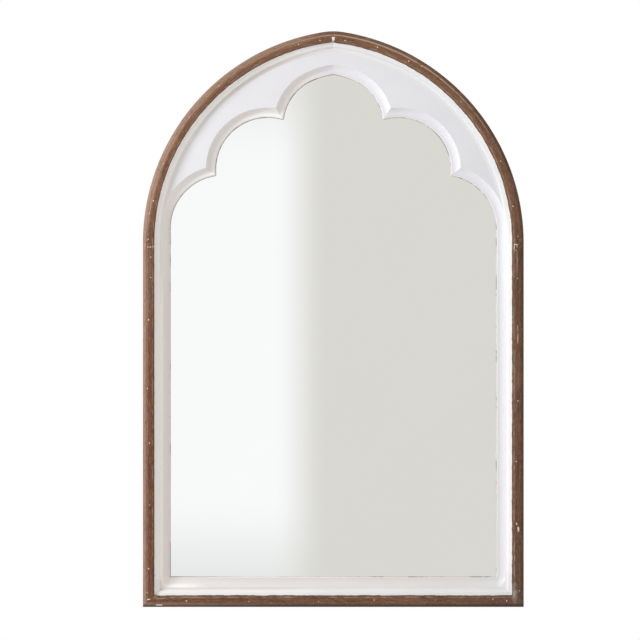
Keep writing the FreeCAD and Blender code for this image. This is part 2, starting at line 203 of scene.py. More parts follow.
FRAME_PROFILE = (
    [(6.0, 0.0), (6.0, 18.0), (18.0, 18.0), (18.0, 25.6)]
    + bow((18.0, 25.6), (19.4, 24.6), 0.1, 4)
    + bow((19.4, 24.6), (24.5, 22.6), 0.12, 5)
    + bow((24.5, 22.6), (25.4, 21.4), 0.2, 4)
    + bow((25.4, 21.4), (26.7, 19.1), -0.1, 4)
    + [(26.7, 19.1), (27.5, 18.65), (28.6, 18.35), (29.8, 18.12), (30.8, 18.0)]
    + [(23.0, 18.0), (23.0, 3.0), (13.0, 3.0), (13.0, 0.0)]
)
SEEN_LEVEL = SEAT_LEVEL + 0.5

# The bead of paint at the frame's foot: its inset, its spread, and where that grows along the arches
BEAD_INSET, LEAST_SPREAD, WIDEST_SPREAD = 27.0, 0.1, 1.5
SPREAD_START, SPREAD_RUN = 60, 36

# Of the trim: where its straight outer edge ends, where its wavy inner edge starts and how wavy that is
EDGE_INSET, LAP_INSET, ARCH_WAVE, STRAIGHT_WAVE = 2, 17, 0.2, 0.5

# How much of the unevenness goes sideways, and how the ends and the apex are eased
LOOSE = {"trim": 0.6, "frame": 0.25}
JOINT_EASE, JOINT_DEPTH = 0.35, 0.18
APEX_DROP, APEX_REACH, APEX_INSET = 0.9, 14, 8


def bead_spread(name, run):
    """How far the bead of paint at a rail's foot reaches onto the panel, as a share of its profile."""
    if name == "bottom_rail":
        return 1.0
    if "stile" in name:
        return LEAST_SPREAD
    return min(max(LEAST_SPREAD + (run - SPREAD_START) / SPREAD_RUN, LEAST_SPREAD), WIDEST_SPREAD)


def wander(run, inset, level, seed, amount):
    """A small unevenness of a hand-finished surface, in millimetres."""
    slow = noise.noise(Vector((run * 0.018, inset * 0.11, seed * 7.3)))
    quick = noise.noise(Vector((run * 0.11, inset * 0.35 + level * 0.2, seed * 3.1)))
    return amount * (0.7 * slow + 0.5 * quick)


def aside(kind, name, run, inset, level, seed, amount):
    """How far a place on a rail's front lies inside the inset of its profile."""
    stray = 0.0
    if level > SEEN_LEVEL and inset > EDGE_INSET:
        stray = LOOSE[kind] * wander(run, inset, level, seed + 11, amount)
    if kind == "trim" and level > SEEN_LEVEL and inset > LAP_INSET:
        wave = ARCH_WAVE if "arch" in name else STRAIGHT_WAVE
        stray += wave * noise.noise(Vector((run * 0.14, seed, 4.0)))
    if kind == "frame" and inset > BEAD_INSET:
        stray += (inset - BEAD_INSET) * (bead_spread(name, run) - 1)
    return stray


def rail(kind, name, profile, steps, material, slot, amount, sharp):
    """Sweeps a profile along one side of the frame. The ends are eased, which leaves a fine joint line."""
    path, length, seed = RAILS[name]
    ease = JOINT_EASE / length
    shares = [0.0, ease] + [ease + (1 - 2 * ease) * i / steps for i in range(1, steps)] + [1 - ease, 1.0]
    verts, spots = [], []
    for share in shares:
        run = share * length
        sunk = JOINT_DEPTH if share in (0.0, 1.0) else 0.0
        for inset, level in profile:
            x, height = path(share, inset + aside(kind, name, run, inset, level, seed, amount))
            if kind == "trim" and "arch" in name and inset < APEX_INSET:
                height -= APEX_DROP * max(0.0, 1 - (length - run) / APEX_REACH) ** 2
            lifted = level
            if level > SEEN_LEVEL:
                lifted = min(level + wander(run, inset, level, seed, amount) - sunk, TRIM_FRONT)
            verts.append(at(x, height, lifted))
            spots.append((run, inset, level))
    faces = capped_tube(len(shares), len(profile))
    stand_in(kind + "_" + name, verts, faces, material, slot, spots=spots, sharp=sharp)


# The tracery panel

def bearing(centre, place):
    return atan2(place.y - centre.y, place.x - centre.x)


def foils():
    """The arcs of the right half of the opening: centre, radius, and the bearings of both ends."""
    stile, low_cusp, high_cusp, turn, apex = [
        Vector((a * OPENING_HALF, SPRING + b * ARCH_HEIGHT)) for a, b in FOIL_CORNER_SHARES]

    def bulged(start, end, share):
        chord = end - start
        return (start + end) / 2 + Vector((-chord.y, chord.x)) * (1 / (8 * share) - share / 2)

    def tangent(start, end, inward):
        chord = end - start
        return start + inward * (chord.dot(chord) / (2 * chord.dot(inward)))

    crown = bulged(high_cusp, turn, CROWN_BULGE_SHARE)
    arcs = [
        (tangent(stile, low_cusp, Vector((-1, 0))), stile, low_cusp),
        (bulged(low_cusp, high_cusp, MIDDLE_BULGE_SHARE), low_cusp, high_cusp),
        (crown, high_cusp, turn),
        (tangent(turn, apex, crown - turn), turn, apex),
    ]
    return [(c, (a - c).length, bearing(c, a), bearing(c, b)) for c, a, b in arcs]


def crossing(first, second, out):
    """Where two neighbouring foils, both widened by out, meet at their cusp."""
    (a, ra, _, _), (b, rb, _, _) = first, second
    ra, rb = ra + out, rb + out
    gap = (b - a).length
    along = (ra ** 2 - rb ** 2 + gap ** 2) / (2 * gap)
    off = sqrt(max(0.0, ra ** 2 - along ** 2))
    ahead = (b - a) / gap
    return a + ahead * along + Vector((ahead.y, -ahead.x)) * off


def arc(centre, radius, start, end, count):
    """Points of an arc, without its far end."""
    angles = [start + (end - start) * i / count for i in range(count)]
    return [centre + Vector((cos(t), sin(t))) * radius for t in angles]


def straight(start, end, count):
    """Points of a straight stretch, without its far end."""
    return [start.lerp(end, i / count) for i in range(count)]


def cusp(centre, radius, first, second):
    """The rounded tip between two foils, from the first to the second."""
    start, end = bearing(centre, first[0]), bearing(centre, second[0])
    if end > start:
        end -= 2 * pi
    return arc(centre, radius, start, end, 6)


def opening_outline(out):
    """The edge of the opening, widened by out, from the middle of the sill round and back."""
    side, middle, crown, cap = foils()
    tip = max(CUSP_RADIUS - out, LEAST_RADIUS)
    low, high = crossing(side, middle, out + tip), crossing(middle, crown, out + tip)
    corner = Vector((OPENING_HALF, OPENING_BOTTOM))
    apex = Vector((0.0, SPRING + FOIL_CORNER_SHARES[-1][1] * ARCH_HEIGHT))
    quarter = pi / 2
    right = straight(Vector((0.0, OPENING_BOTTOM - out)), corner - Vector((0.0, out)), 12)
    right += arc(corner, out, -quarter, 0.0, 8)
    right += straight(corner + Vector((out, 0.0)), Vector((OPENING_HALF + out, side[0].y)), 24)
    right += arc(side[0], side[1] + out, 0.0, bearing(side[0], low), 26)
    right += cusp(low, tip, side, middle)
    right += arc(middle[0], middle[1] + out, bearing(middle[0], low), bearing(middle[0], high), 44)
    right += cusp(high, tip, middle, crown)
    right += arc(crown[0], crown[1] + out, bearing(crown[0], high), crown[3], 26)
    right += arc(cap[0], cap[1] + out, cap[2], cap[3], 9)
    right += arc(apex, out, cap[3], quarter, 3)
    left = [Vector((-p.x, p.y)) for p in reversed(right[1:])]
    return right + [Vector((0.0, apex.y + out))] + left


def arch_outline(inset, bottom, count=60):
    """The pointed arch, from the lower right corner round to the lower left one."""
    side = HALF - inset
    path = arch_path(1)
    right = straight(Vector((side, bottom)), Vector((side, SPRING)), 6)
    right += [Vector(path(i / count, inset)) for i in range(count)]
    left = [Vector((-p.x, p.y)) for p in reversed(right)]
    return right + [Vector((0.0, apex_height(inset)))] + left


def cove_profile():
    """(distance from the opening, level) pairs: edge, lip, quirk, cove and eased arris."""
    pairs = [(0.0, LIP_BACK), (0.25, 7.5), (1.3, 8.8), (1.6, 9.0), (2.45, 9.0), (2.7, 9.12), (2.8, 9.5)]
    centre, radius = Vector((2.53, 24.6)), 15.0
    start, end = radians(-88.2), radians(-30.5)
    pairs += [tuple(p) for p in arc(centre, radius, start, end, 16)]
    return pairs + [(15.5, 17.1), (15.75, 17.55), (16.05, 17.85), (16.45, 17.98), (16.9, 18.0)]


FAR_OUT = 100.0  # noted as the distance from the opening where no moulding is


def tracery_panel(material):
    """One board, moulded round its opening in front and with a pocket for the glass behind."""
    verts, spots, faces = [], [], []

    def add_loop(outline, level, out):
        """Adds the points of a loop and gives the number of its first."""
        start = len(verts)
        for p in outline:
            seed = Vector((p.x * 0.02, p.y * 0.02, out * 0.3))
            lift = 0.1 * noise.noise(seed) if level > LIP_BACK + 0.1 and out < FAR_OUT else 0.0
            verts.append(at(p.x, p.y, level + lift))
            spots.append((p.y, out, level))
        return start

    def fill(outlines, starts):
        """Adds the faces between an outline and the hole in it."""
        index = [s + i for outline, s in zip(outlines, starts) for i in range(len(outline))]
        for tri in tessellate_polygon([[p.to_3d() for p in o] for o in outlines]):
            faces.append(tuple(index[i] for i in tri))

    profile = cove_profile()
    starts = [add_loop(opening_outline(out), level, out) for out, level in profile]
    rim = opening_outline(profile[-1][0])
    for low, high in zip(starts, starts[1:]):
        faces.extend(band(low, high, len(rim)))
    outer = arch_outline(PANEL_INSET, PANEL_INSET)
    front, back = add_loop(outer, SEAT_LEVEL, FAR_OUT), add_loop(outer, BOARD_FRONT, FAR_OUT)
    fill([outer, rim], [front, starts[-1]])
    faces.extend(band(front, back, len(outer)))
    pocket = arch_outline(POCKET_INSET, POCKET_BOTTOM)
    mouth, bed = add_loop(pocket, BOARD_FRONT, FAR_OUT), add_loop(pocket, LIP_BACK, FAR_OUT)
    fill([outer, pocket], [back, mouth])
    faces.extend(band(mouth, bed, len(pocket)))
    fill([pocket, opening_outline(0.0)], [bed, starts[0]])
    stand_in("tracery_panel", verts, faces, material, "white_paint", spots=spots, sharp=30.0)


# Small hardware, placed where the solids are

def islands(name, reach=3.0 * MM):
    """Lowest and highest corner of each separate solid in a node. They stand more than reach apart."""
    groups = []
    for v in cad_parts[name].data.vertices:
        low, high = v.co.copy(), v.co.copy()
        near = [g for g in groups if all(g[0][k] - reach < v.co[k] < g[1][k] + reach for k in (0, 2))]
        for group in near:
            groups.remove(group)
            low = Vector(map(min, low, group[0]))
            high = Vector(map(max, high, group[1]))
        groups.append((low, high))
    return groups


def turned(low, high, rings, turn=0.0):
    """A closed solid round the Y axis through the middle of a box, from (y, radii of its points) rings."""
    x, z = (low.x + high.x) / 2, (low.z + high.z) / 2
    verts = []
    for y, radii in rings:
        for a, radius in zip(full_turn(len(radii)), radii):
            verts.append(Vector((x + radius * cos(turn + a), y, z + radius * sin(turn + a))))
    return verts, capped_tube(len(rings), len(rings[0][1]))


def join(parts):
    """Puts the verts and the faces of several parts together."""
    verts, faces = [], []
    for more_verts, more_faces in parts:
        start = len(verts)
        verts += more_verts
        faces += [tuple(start + i for i in f) for f in more_faces]
    return verts, faces


def pan_head_screw(low, high, turn):
    """A pan-head screw with a cross recess. Its head is at the back, towards +Y."""
    top, head, shank, radius, count = high.y, 1.8 * MM, 1.55 * MM, (high.x - low.x) / 2, 48
    body = [
        (low.y, 0.2 * MM), (low.y + 2.5 * MM, shank), (top - head, shank), (top - head, radius),
        (top - 0.75 * head, radius), (top - 0.4 * head, 0.93 * radius),
        (top - 0.13 * head, 0.76 * radius), (top - 0.02 * head, 0.62 * radius),
    ]
    recess = [(top, 1.75 * MM), (top - 0.15 * MM, 1.6 * MM), (top - 1.2 * MM, 0.9 * MM)]
    cross = [0.34 + 0.66 * abs(cos(2 * a)) ** 7 for a in full_turn(count)]
    rings = [(y, [r] * count) for y, r in body] + [(y, [r * arm for arm in cross]) for y, r in recess]
    return turned(low, high, rings, turn)


def screws(name, material):
    chance = random.Random(7)
    parts = [pan_head_screw(low, high, chance.uniform(0, 1.5)) for low, high in islands(name)]
    stand_in(name, *join(parts), material, "steel")


# A bumper's section: height above its base in millimetres, and share of its radius
BUMPER_PROFILE = [
    (0.0, 1.0), (1.6, 1.0), (2.6, 0.985), (3.7, 0.93), (4.5, 0.86), (4.95, 0.76), (5.0, 0.72), (5.0, 0.3)]


def bumpers(material):
    """Round rubber feet whose backs are domed."""
    parts = []
    for low, high in islands("wall_bumpers", 8.0 * MM):
        radius, count = (high.x - low.x) / 2, 40
        rings = [(min(low.y + rise * MM, high.y), [share * radius] * count) for rise, share in BUMPER_PROFILE]
        parts.append(turned(low, high, rings))
    stand_in("wall_bumpers", *join(parts), material, "bumper")


def inset_of(x, z):
    """How far a place lies inside the outer edge, in millimetres."""
    across, height = abs(x) / MM, z / MM + HOOK_HEIGHT
    if height < SPRING:
        return min(height, HALF - across)
    return RADIUS - hypot(across + OFFSET, height - SPRING)


def putty_dots(material):
    """Rounded, slightly uneven plugs over the brads."""
    chance = random.Random(21)
    lift, count = 0.14, 18
    parts = []
    for low, high in islands("brad_fillers"):
        inset = inset_of((low.x + high.x) / 2, (low.z + high.z) / 2)
        front = at(0, 0, trim_level(inset) + lift).y
        size = chance.uniform(0.58, 0.86)
        radii = [(high.z - low.z) / 2 * (size + chance.uniform(-0.13, 0.13)) for _ in range(count)]
        heights = [(high.y, 0.98), (front + 0.35 * MM, 0.98), (front + 0.1 * MM, 0.86), (front, 0.5)]
        parts.append(turned(low, high, [(y, [share * r for r in radii]) for y, share in heights]))
    stand_in("brad_fillers", *join(parts), material, "putty")


def apex_strip(material):
    """A strip of filler across the joint at the apex. It lies on the face of the trim."""
    chance = random.Random(5)
    low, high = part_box("trim_apex_filler")
    rows, columns, face_end = 9, 7, 17.2
    edge_lift, face_lift, uneven = -0.3, 0.12, 0.06
    verts = []
    for j in range(rows):
        z = low.z + (high.z - low.z) * j / (rows - 1)
        level = trim_level(min(inset_of(0.0, z), face_end))
        front = []
        for i in range(columns):
            share = 2 * i / (columns - 1) - 1
            edge = abs(share) > 0.99 or j in (0, rows - 1)
            x = share * high.x * (1 + chance.uniform(-uneven, uneven) * edge)
            front.append(at(x / MM, z / MM + HOOK_HEIGHT, level + (edge_lift if edge else face_lift)))
        verts += front + [Vector((v.x, high.y, v.z)) for v in reversed(front)]
    stand_in("trim_apex_filler", verts, capped_tube(rows, 2 * columns), material, "putty")


# The hinge of a ring, and the strap that is folded round its bar
HANGER_X, PIVOT_Y, PIVOT_Z = 287.0 * MM, -2.72 * MM, 2.28 * MM
LOOP_OUTER, LOOP_INNER, STRAP = 2.28 * MM, 1.28 * MM, 1.0 * MM


def hanger_strap(side, name, material):
    """A strap of sheet steel folded round the ring's bar, from an outline of (z, y) pairs."""
    def around(radius, start, end, count):
        angles = [radians(start + (end - start) * i / count) for i in range(count + 1)]
        return [(PIVOT_Z + radius * cos(a), PIVOT_Y + radius * sin(a)) for a in angles]

    lap, joggle, top = PIVOT_Z + 12.0 * MM, PIVOT_Z + 4.6 * MM, PIVOT_Z + 29.0 * MM
    back = PIVOT_Y - LOOP_OUTER
    folded, seam, soft = back + 2 * STRAP, back + STRAP + 0.02 * MM, 0.12 * MM
    outline = [(top, back + soft), (top - soft, back)] + around(LOOP_OUTER, -90, -270, 26)
    outline += [
        (PIVOT_Z + 1.4 * MM, PIVOT_Y + LOOP_OUTER - 0.35 * MM), (joggle, folded + soft),
        (joggle + 1.0 * MM, folded), (lap - 0.2 * MM, folded), (lap, folded - 0.2 * STRAP), (lap, seam),
        (joggle, seam), (PIVOT_Z + 1.2 * MM, PIVOT_Y + LOOP_INNER - 0.25 * MM),
    ]
    outline += around(LOOP_INNER, 90, 270, 24)
    outline += [(joggle, back + STRAP), (top - soft, back + STRAP), (top, back + STRAP - soft)]
    half, nib, bevel = 6.0 * MM, 3.0 * MM, 0.15 * MM
    sections = [(-half, nib), (-half + bevel, nib - bevel), (-nib, 0),
                (nib, 0), (half - bevel, nib - bevel), (half, nib)]
    verts = []
    for x, clip in sections:
        for z, y in outline:
            drop = clip if z > top - 0.2 * MM else 0.0
            verts.append(Vector((side * HANGER_X + x, y, z - drop)))
    faces = capped_tube(len(sections), len(outline))
    stand_in(name, verts, faces, material, "steel")


def hanger_ring(side, name, body, material):
    """A D-shaped wire ring that hangs from its bar. Its stations are places and headings of the wire."""
    wire, half_width, corner = 1.2 * MM, 11.0 * MM, 3.0 * MM
    stations = []
    for i in range(9):
        a = radians(90 - 90 * i / 8)
        stations.append((half_width - corner + corner * cos(a), -corner + corner * sin(a), a))
    for i in range(1, 40):
        a = -pi * i / 40
        stations.append((half_width * cos(a), -corner + half_width * sin(a), a))
    stations += [(-x, z, pi - a) for x, z, a in reversed(stations[:9])]
    stations += [(x, 0.0, pi / 2) for x in (-6.0 * MM, -0.15 * MM, 0.0, 0.15 * MM, 6.0 * MM)]
    count, joint_share, verts = 18, 0.86, []
    for x, z, a in stations:
        radius = wire * (joint_share if x == 0.0 and z == 0.0 else 1.0)
        for b in full_turn(count):
            out, deep = radius * cos(b), radius * sin(b)
            verts.append(Vector((
                side * HANGER_X + x + out * cos(a), PIVOT_Y + deep, PIVOT_Z + z + out * sin(a))))
    faces = tube(len(stations), count, closed_rows=True)
    stand_in(name, verts, faces, material, "steel", body=body)


# Flecks: thin uneven patches of filler or rubbed paint that lie on the trim

def on_rail(rail_name, along, inset):
    """A place on the trim: along counts from the rail's lower or left end at the outer edge."""
    side = -1 if rail_name.startswith("left") else 1
    if rail_name.endswith("stile"):
        return side * (HALF - inset), along
    if rail_name == "bottom_rail":
        return along - HALF, inset
    path, whole, _ = RAILS[rail_name]
    return path(along / whole, inset)


def fleck_part(chance, rail_name, along, inset, length, width, slant=0.0):
    """A low uneven mound on the trim, with its rim sunk into the wood."""
    steps, rim = 22, []
    face_start, face_end = 0.6, 17.9
    for a in full_turn(steps):
        grow = 1 + chance.uniform(-0.3, 0.3)
        reach = length / 2 * cos(a) * grow
        across = width / 2 * sin(a) * grow + slant * reach
        rim.append((along + reach, min(max(inset + across, face_start), face_end)))
    middle = [(along + 0.5 * (r - along), inset + 0.5 * (i - inset)) for r, i in rim]
    verts = []
    for group, lift in ((rim, -0.3), (rim, 0.03), (middle, 0.1), ([(along, inset)], 0.12)):
        for r, i in group:
            x, height = on_rail(rail_name, r, i)
            verts.append(at(x, height, trim_level(i) + lift))
    faces = tube(3, steps) + [tuple(range(steps))]
    faces += [(2 * steps + i, 2 * steps + (i + 1) % steps, 3 * steps) for i in range(steps)]
    return verts, faces


# Each fleck: rail, place along it, inset, length and width in millimetres, and the slope of a slanting one
LEFT, RIGHT, FOOT = "left_stile", "right_stile", "bottom_rail"
FILLER_FLECKS = [
    (FOOT, 26, 3.4, 11, 1.7, 0.02), (RIGHT, 133.5, 11.7, 4, 1.9, 0.3), (RIGHT, 125, 8.8, 9, 2.7, 0.12),
    (LEFT, 576.5, 12.5, 1.5, 3.4), (LEFT, 577.0, 16.8, 2.0, 1.8), (LEFT, 576.6, 8.6, 1.2, 2.4),
    (RIGHT, 576, 15.4, 8, 1.1, 0.02), (RIGHT, 580.6, 13.6, 1.3, 8.4), (RIGHT, 578.2, 10.9, 5, 1.1),
    (LEFT, 12.4, 9.6, 1.5, 5.0, 0.3), (LEFT, 350, 7.2, 1.7, 1.7), (LEFT, 262.8, 10.6, 1.8, 1.8),
    (LEFT, 163.5, 10.6, 1.9, 1.9), (RIGHT, 526.2, 10.6, 1.6, 1.6), (RIGHT, 478.4, 11.2, 1.2, 1.2),
    (RIGHT, 447, 9.8, 14, 0.7), (RIGHT, 430, 9.6, 17, 0.9), (RIGHT, 330.3, 9.7, 1.8, 1.8),
    (RIGHT, 233.3, 12.4, 1.8, 1.8), (FOOT, 170, 8.9, 1.6, 1.6), (FOOT, 281.5, 9.1, 1.4, 1.4),
    (FOOT, 370.5, 11.6, 1.6, 1.6), (FOOT, 468.5, 11.6, 1.4, 1.4),
]
PAINT_FLECKS = [
    (RIGHT, 100, 15.5, 16, 0.8, 0.01), (RIGHT, 79, 15.2, 14, 0.9, -0.01),
    (RIGHT, 58, 15.4, 18, 0.8, 0.01), (RIGHT, 553, 10.6, 46, 0.7), (FOOT, 30, 13.6, 22, 0.9, 0.03),
    (FOOT, 56, 14.4, 14, 0.8), (FOOT, 84, 15.8, 12, 0.7), (FOOT, 18.6, 16.4, 6, 0.9, -0.6),
    ("left_arch", 300, 16.6, 9, 0.9), ("right_arch", 205, 15.9, 14, 0.7),
]
DARK_FLECKS = [
    (FOOT, 38, 11.0, 7, 1.2, 0.05), (FOOT, 49, 10.4, 6, 1.1, -0.08), (FOOT, 62, 11.2, 8, 0.9, 0.03),
    ("right_arch", 62, 9.5, 12, 1.0), ("right_arch", 470, 11.0, 10, 1.2, 0.03),
    (LEFT, 55, 16.4, 34, 1.3), (LEFT, 22, 16.2, 18, 1.0, 0.02),
]


def flecks(name, table, material, slot):
    chance = random.Random(len(table) * 17)
    piece(name, *join([fleck_part(chance, *row) for row in table]), material, slot)


# Shader nodes. The helpers take and give sockets, and a socket knows the tree it is in.

def node(kind, inputs=None, tree=None, **settings):
    """Makes a node, in the tree of its inputs or in the one given, and links or sets its inputs."""
    inputs = inputs or {}
    linked = {key: value for key, value in inputs.items() if isinstance(value, bpy.types.NodeSocket)}
    tree = tree or next(iter(linked.values())).id_data
    made = tree.nodes.new("ShaderNode" + kind)
    for key, value in settings.items():
        setattr(made, key, value)
    for key, value in inputs.items():
        if key in linked:
            tree.links.new(value, made.inputs[key])
        else:
            made.inputs[key].default_value = value
    return made


def calc(operation, *values):
    return node("Math", dict(enumerate(values)), operation=operation).outputs[0]


def times(*values):
    product = values[0]
    for value in values[1:]:
        product = calc("MULTIPLY", product, value)
    return product


def plus(base, value, share):
    """base and a share of value, which may be a negative one."""
    return calc("ADD", base, times(value, share))


def step(value, low, high):
    """0 below low, 1 above high, smooth between, or the other way round if low is the higher."""
    inputs = {"Value": value, "From Min": low, "From Max": high}
    return node("MapRange", inputs, interpolation_type="SMOOTHSTEP").outputs["Result"]


def line(value, centre, half):
    """1 along a line where value is near centre, 0 away from it."""
    away = calc("ABSOLUTE", calc("SUBTRACT", value, centre))
    return step(away, half, 0.25 * half)


def speckle(vector, scale, detail=3.0, rough=0.55, distortion=0.0):
    return node("TexNoise", {
        "Vector": vector, "Scale": scale, "Detail": detail, "Roughness": rough, "Distortion": distortion,
    }).outputs["Fac"]


def cells(vector, scale):
    return node("TexVoronoi", {"Vector": vector, "Scale": scale}).outputs["Distance"]


def stretched(vector, scale):
    return node("VectorMath", {0: vector, 1: scale}, operation="MULTIPLY").outputs[0]


def blend(share, first, second):
    """The first tint where share is 0, the second where it is 1. A tint is a socket or three numbers."""
    first, second = [tint + (1,) if isinstance(tint, tuple) else tint for tint in (first, second)]
    return node("Mix", {0: share, 6: first, 7: second}, data_type="RGBA").outputs[2]


def layered(colour, *layers):
    """Lays tints over a colour in turn. A layer is the share of it that shows, and its tint."""
    for share, tint in layers:
        colour = blend(share, colour, tint)
    return colour


def bumped(*heights):
    """Bumps in turn, each a height, its strength and its distance in metres."""
    normal = None
    for height, strength, distance in heights:
        inputs = {"Height": height, "Strength": strength, "Distance": distance}
        if normal:
            inputs["Normal"] = normal
        normal = node("Bump", inputs).outputs[0]
    return normal


def coat(colour, rough, *bumps):
    """A material's linked inputs."""
    return {"Base Color": colour, "Roughness": rough, "Normal": bumped(*bumps)}


def empty_tree(owner):
    owner.use_nodes = True
    owner.node_tree.nodes.clear()
    return owner.node_tree


def surface(name, recipe, **fixed):
    """A Principled material: recipe() gives the linked inputs, and fixed ones are set on the shader."""
    material = bpy.data.materials.new(name)
    tree = empty_tree(material)
    inputs = {key.replace("_", " "): value for key, value in fixed.items()}
    inputs.update(recipe(tree))
    shader = node("BsdfPrincipled", inputs)
    node("OutputMaterial", {"Surface": shader.outputs[0]})
    return material


def place_of(tree):
    return node("TexCoord", tree=tree).outputs["Object"]


def spot_of(tree):
    """A place in metres from the hook, and the spot's inset and level in millimetres.

    On the panel, the distance from the opening takes the place of the inset."""
    place = place_of(tree)
    parts = node("SeparateXYZ", {0: place}).outputs
    spot = node("Attribute", tree=tree, attribute_name="spot").outputs["Vector"]
    spot_parts = node("SeparateXYZ", {0: spot}).outputs
    return SimpleNamespace(
        place=place, across=parts[0], height=parts[2],
        spot=spot, inset=spot_parts[1], level=spot_parts[2])


# Stained wood: a grain, with layers over it. The haze lies at the worn lower right corner.

WORN_CORNER, HAZE_WIDTH, HAZE_HEIGHT = (0.2905, 0.0, -0.5145), 0.006, 0.018
SHADE, BLEACHED = (0.058, 0.032, 0.019), (0.36, 0.21, 0.135)


def wood_spot(tree):
    """A spot on the trim with the noises and areas that the layers share."""
    here = spot_of(tree)

    def along(run_scale, cross_scale, *settings):
        return speckle(stretched(here.spot, (run_scale, cross_scale, cross_scale)), 1.0, *settings)

    here.streak = along(0.012, 0.55, 6.0, 0.62, 0.4)
    here.fine = along(0.07, 2.6, 4.0, 0.6)
    here.pores = along(0.2, 3.6, 2.0, 0.5)
    here.mottle = along(0.13, 0.55, 5.0, 0.75)
    here.patches = speckle(here.place, 95.0, 4.0)
    here.chips = speckle(here.place, 420.0, 3.0, 0.6)
    here.tone = plus(times(here.streak, 0.55), here.fine, 0.45)
    here.front = step(here.level, 23.5, 24.5)
    here.left_stile = times(step(here.across, -0.28, -0.285), step(here.height, 0.05, 0.02))
    return here


def grain_layers(here):
    """Clouds, the lighter arches, dark pores and pale chips."""
    cloud = speckle(here.place, 26.0, 3.0)
    worn = times(step(here.chips, 0.6, 0.7), step(here.patches, 0.45, 0.6), 0.35)
    return [
        (times(step(cloud, 0.45, 0.75), 0.5), (0.225, 0.118, 0.068)),
        (times(step(here.height, 0.03, 0.12), 0.22), (0.33, 0.165, 0.085)),
        (times(step(here.pores, 0.56, 0.68), 0.7), (0.034, 0.015, 0.009)),
        (worn, (0.42, 0.3, 0.22)),
    ]


def side_layers(here):
    """Painted sheen on the left side's outer shoulder, painted shade in the left stile's face low down, the
    stile warm below and light above, the right side shaded.
    """
    inset, across, height = here.inset, here.across, here.height
    high = step(height, 0.05, 0.12)
    left = calc("MAXIMUM", step(across, -0.06, -0.26), times(high, step(across, 0.0, -0.08)))
    outer = step(plus(inset, high, -3.4), 8.4, 3.4)
    # Painted sheen: the outer shoulder on the left side is lighter.
    left_sheen = times(outer, left, here.front, plus(0.24, here.tone, 0.5))
    # Painted shade in the face of the left stile, low down.
    stile_shade = times(line(inset, 10.8, 3.4), here.left_stile, step(height, -0.04, -0.1), 0.22)
    warm = times(here.left_stile, step(inset, 7.5, 9.5), step(height, 0.0, -0.15), 0.35)
    light_top = times(here.left_stile, step(height, -0.12, -0.02), 0.16)
    shaded = times(step(inset, 6.8, 3.2), step(across, 0.14, 0.27), here.front, 0.68)
    dim_foot = times(step(height, -0.4, -0.46), step(across, 0.14, 0.28), here.front, 0.3)
    return [
        (left_sheen, blend(high, (0.46, 0.29, 0.24), (0.42, 0.275, 0.2))),
        (stile_shade, (0.055, 0.022, 0.01)), (warm, (0.15, 0.042, 0.01)), (light_top, BLEACHED),
        (shaded, SHADE), (dim_foot, SHADE),
    ]


def mottle_layers(here):
    """Dark and light streaks, a few millimetres long."""
    return [
        (times(step(here.mottle, 0.5, 0.38), 0.42), (0.066, 0.026, 0.011)),
        (times(step(here.mottle, 0.52, 0.64), 0.42), BLEACHED),
    ]


def arris_layers(here):
    """Both arrises rubbed, a dark line under the outer one on the arches, painted shade on the right and
    bottom outer rims, and painted highlight on the inner arris along the bottom and on the right.
    """
    inset, across, height = here.inset, here.across, here.height
    right_arch = times(step(height, 0.15, 0.34), step(across, -0.12, 0.06))
    rubbed = times(line(inset, 6.5, 1.7), step(here.patches, 0.28, 0.5), plus(0.1, right_arch, 0.75))
    under = times(line(inset, 8.3, 0.5), step(height, 0.17, 0.24), step(here.patches, 0.62, 0.42), 0.6)
    # Painted shade: the outer rim is darker on the right side, and so is the bottom edge.
    rim = times(step(inset, 1.8, 0.5), step(across, -0.06, 0.03), 0.7)
    foot = times(step(height, -0.5315, -0.5362), 0.88)
    low_right = times(step(height, 0.04, 0.06), step(height, 0.22, 0.16), step(across, 0.1, 0.2))
    inner_share = plus(plus(0.5, step(height, -0.51, -0.52), 0.25), low_right, -0.4)
    # The inner arris is rubbed lighter, with painted highlight added along the bottom.
    inner = times(line(inset, 16.0, 1.1), step(speckle(here.place, 60.0, 4.0), 0.4, 0.66), inner_share)
    # Painted highlight on the inner edge of the right side.
    glint = times(line(inset, 15.6, 0.8), step(across, 0.12, 0.25), step(here.patches, 0.36, 0.6), 0.4)
    return [
        (rubbed, (0.5, 0.385, 0.31)), (under, (0.035, 0.018, 0.011)),
        (calc("MAXIMUM", rim, foot), (0.03, 0.021, 0.017)),
        (inner, (0.4, 0.31, 0.25)), (glint, (0.5, 0.42, 0.36)),
    ]


def seam_layers(here):
    """A haze at the worn lower corner, painted shadow in the seam beside the paint, and paint spilt over the
    edge.
    """
    from_corner = node("VectorMath", {0: here.place, 1: WORN_CORNER}, operation="SUBTRACT").outputs[0]
    from_corner = stretched(from_corner, (1 / HAZE_WIDTH, 0.0, 1 / HAZE_HEIGHT))
    away = node("VectorMath", {0: from_corner}, operation="LENGTH").outputs["Value"]
    haze = times(step(away, 1.2, 0.3), step(here.patches, 0.35, 0.6), 0.55)
    # Painted shadow in the seam between the trim and the paint, broken into specks and fainter on the left
    # stile.
    seam_shadow_share = plus(0.85, here.left_stile, -0.4)
    seam = times(step(here.inset, 17.7, 18.1), step(here.chips, 0.34, 0.44), seam_shadow_share)
    left_arch = times(step(here.height, 0.05, 0.07), step(here.across, -0.02, -0.06))
    spill = plus(plus(here.inset, speckle(here.place, 75.0, 6.0, 0.7), 3.2), left_arch, 0.4)
    spilt = times(step(spill, 20.5, 20.7), step(here.level, 24.0, 25.0))
    return [(haze, (0.42, 0.36, 0.32)), (seam, (0.04, 0.027, 0.021)), (spilt, (0.78, 0.75, 0.71))]


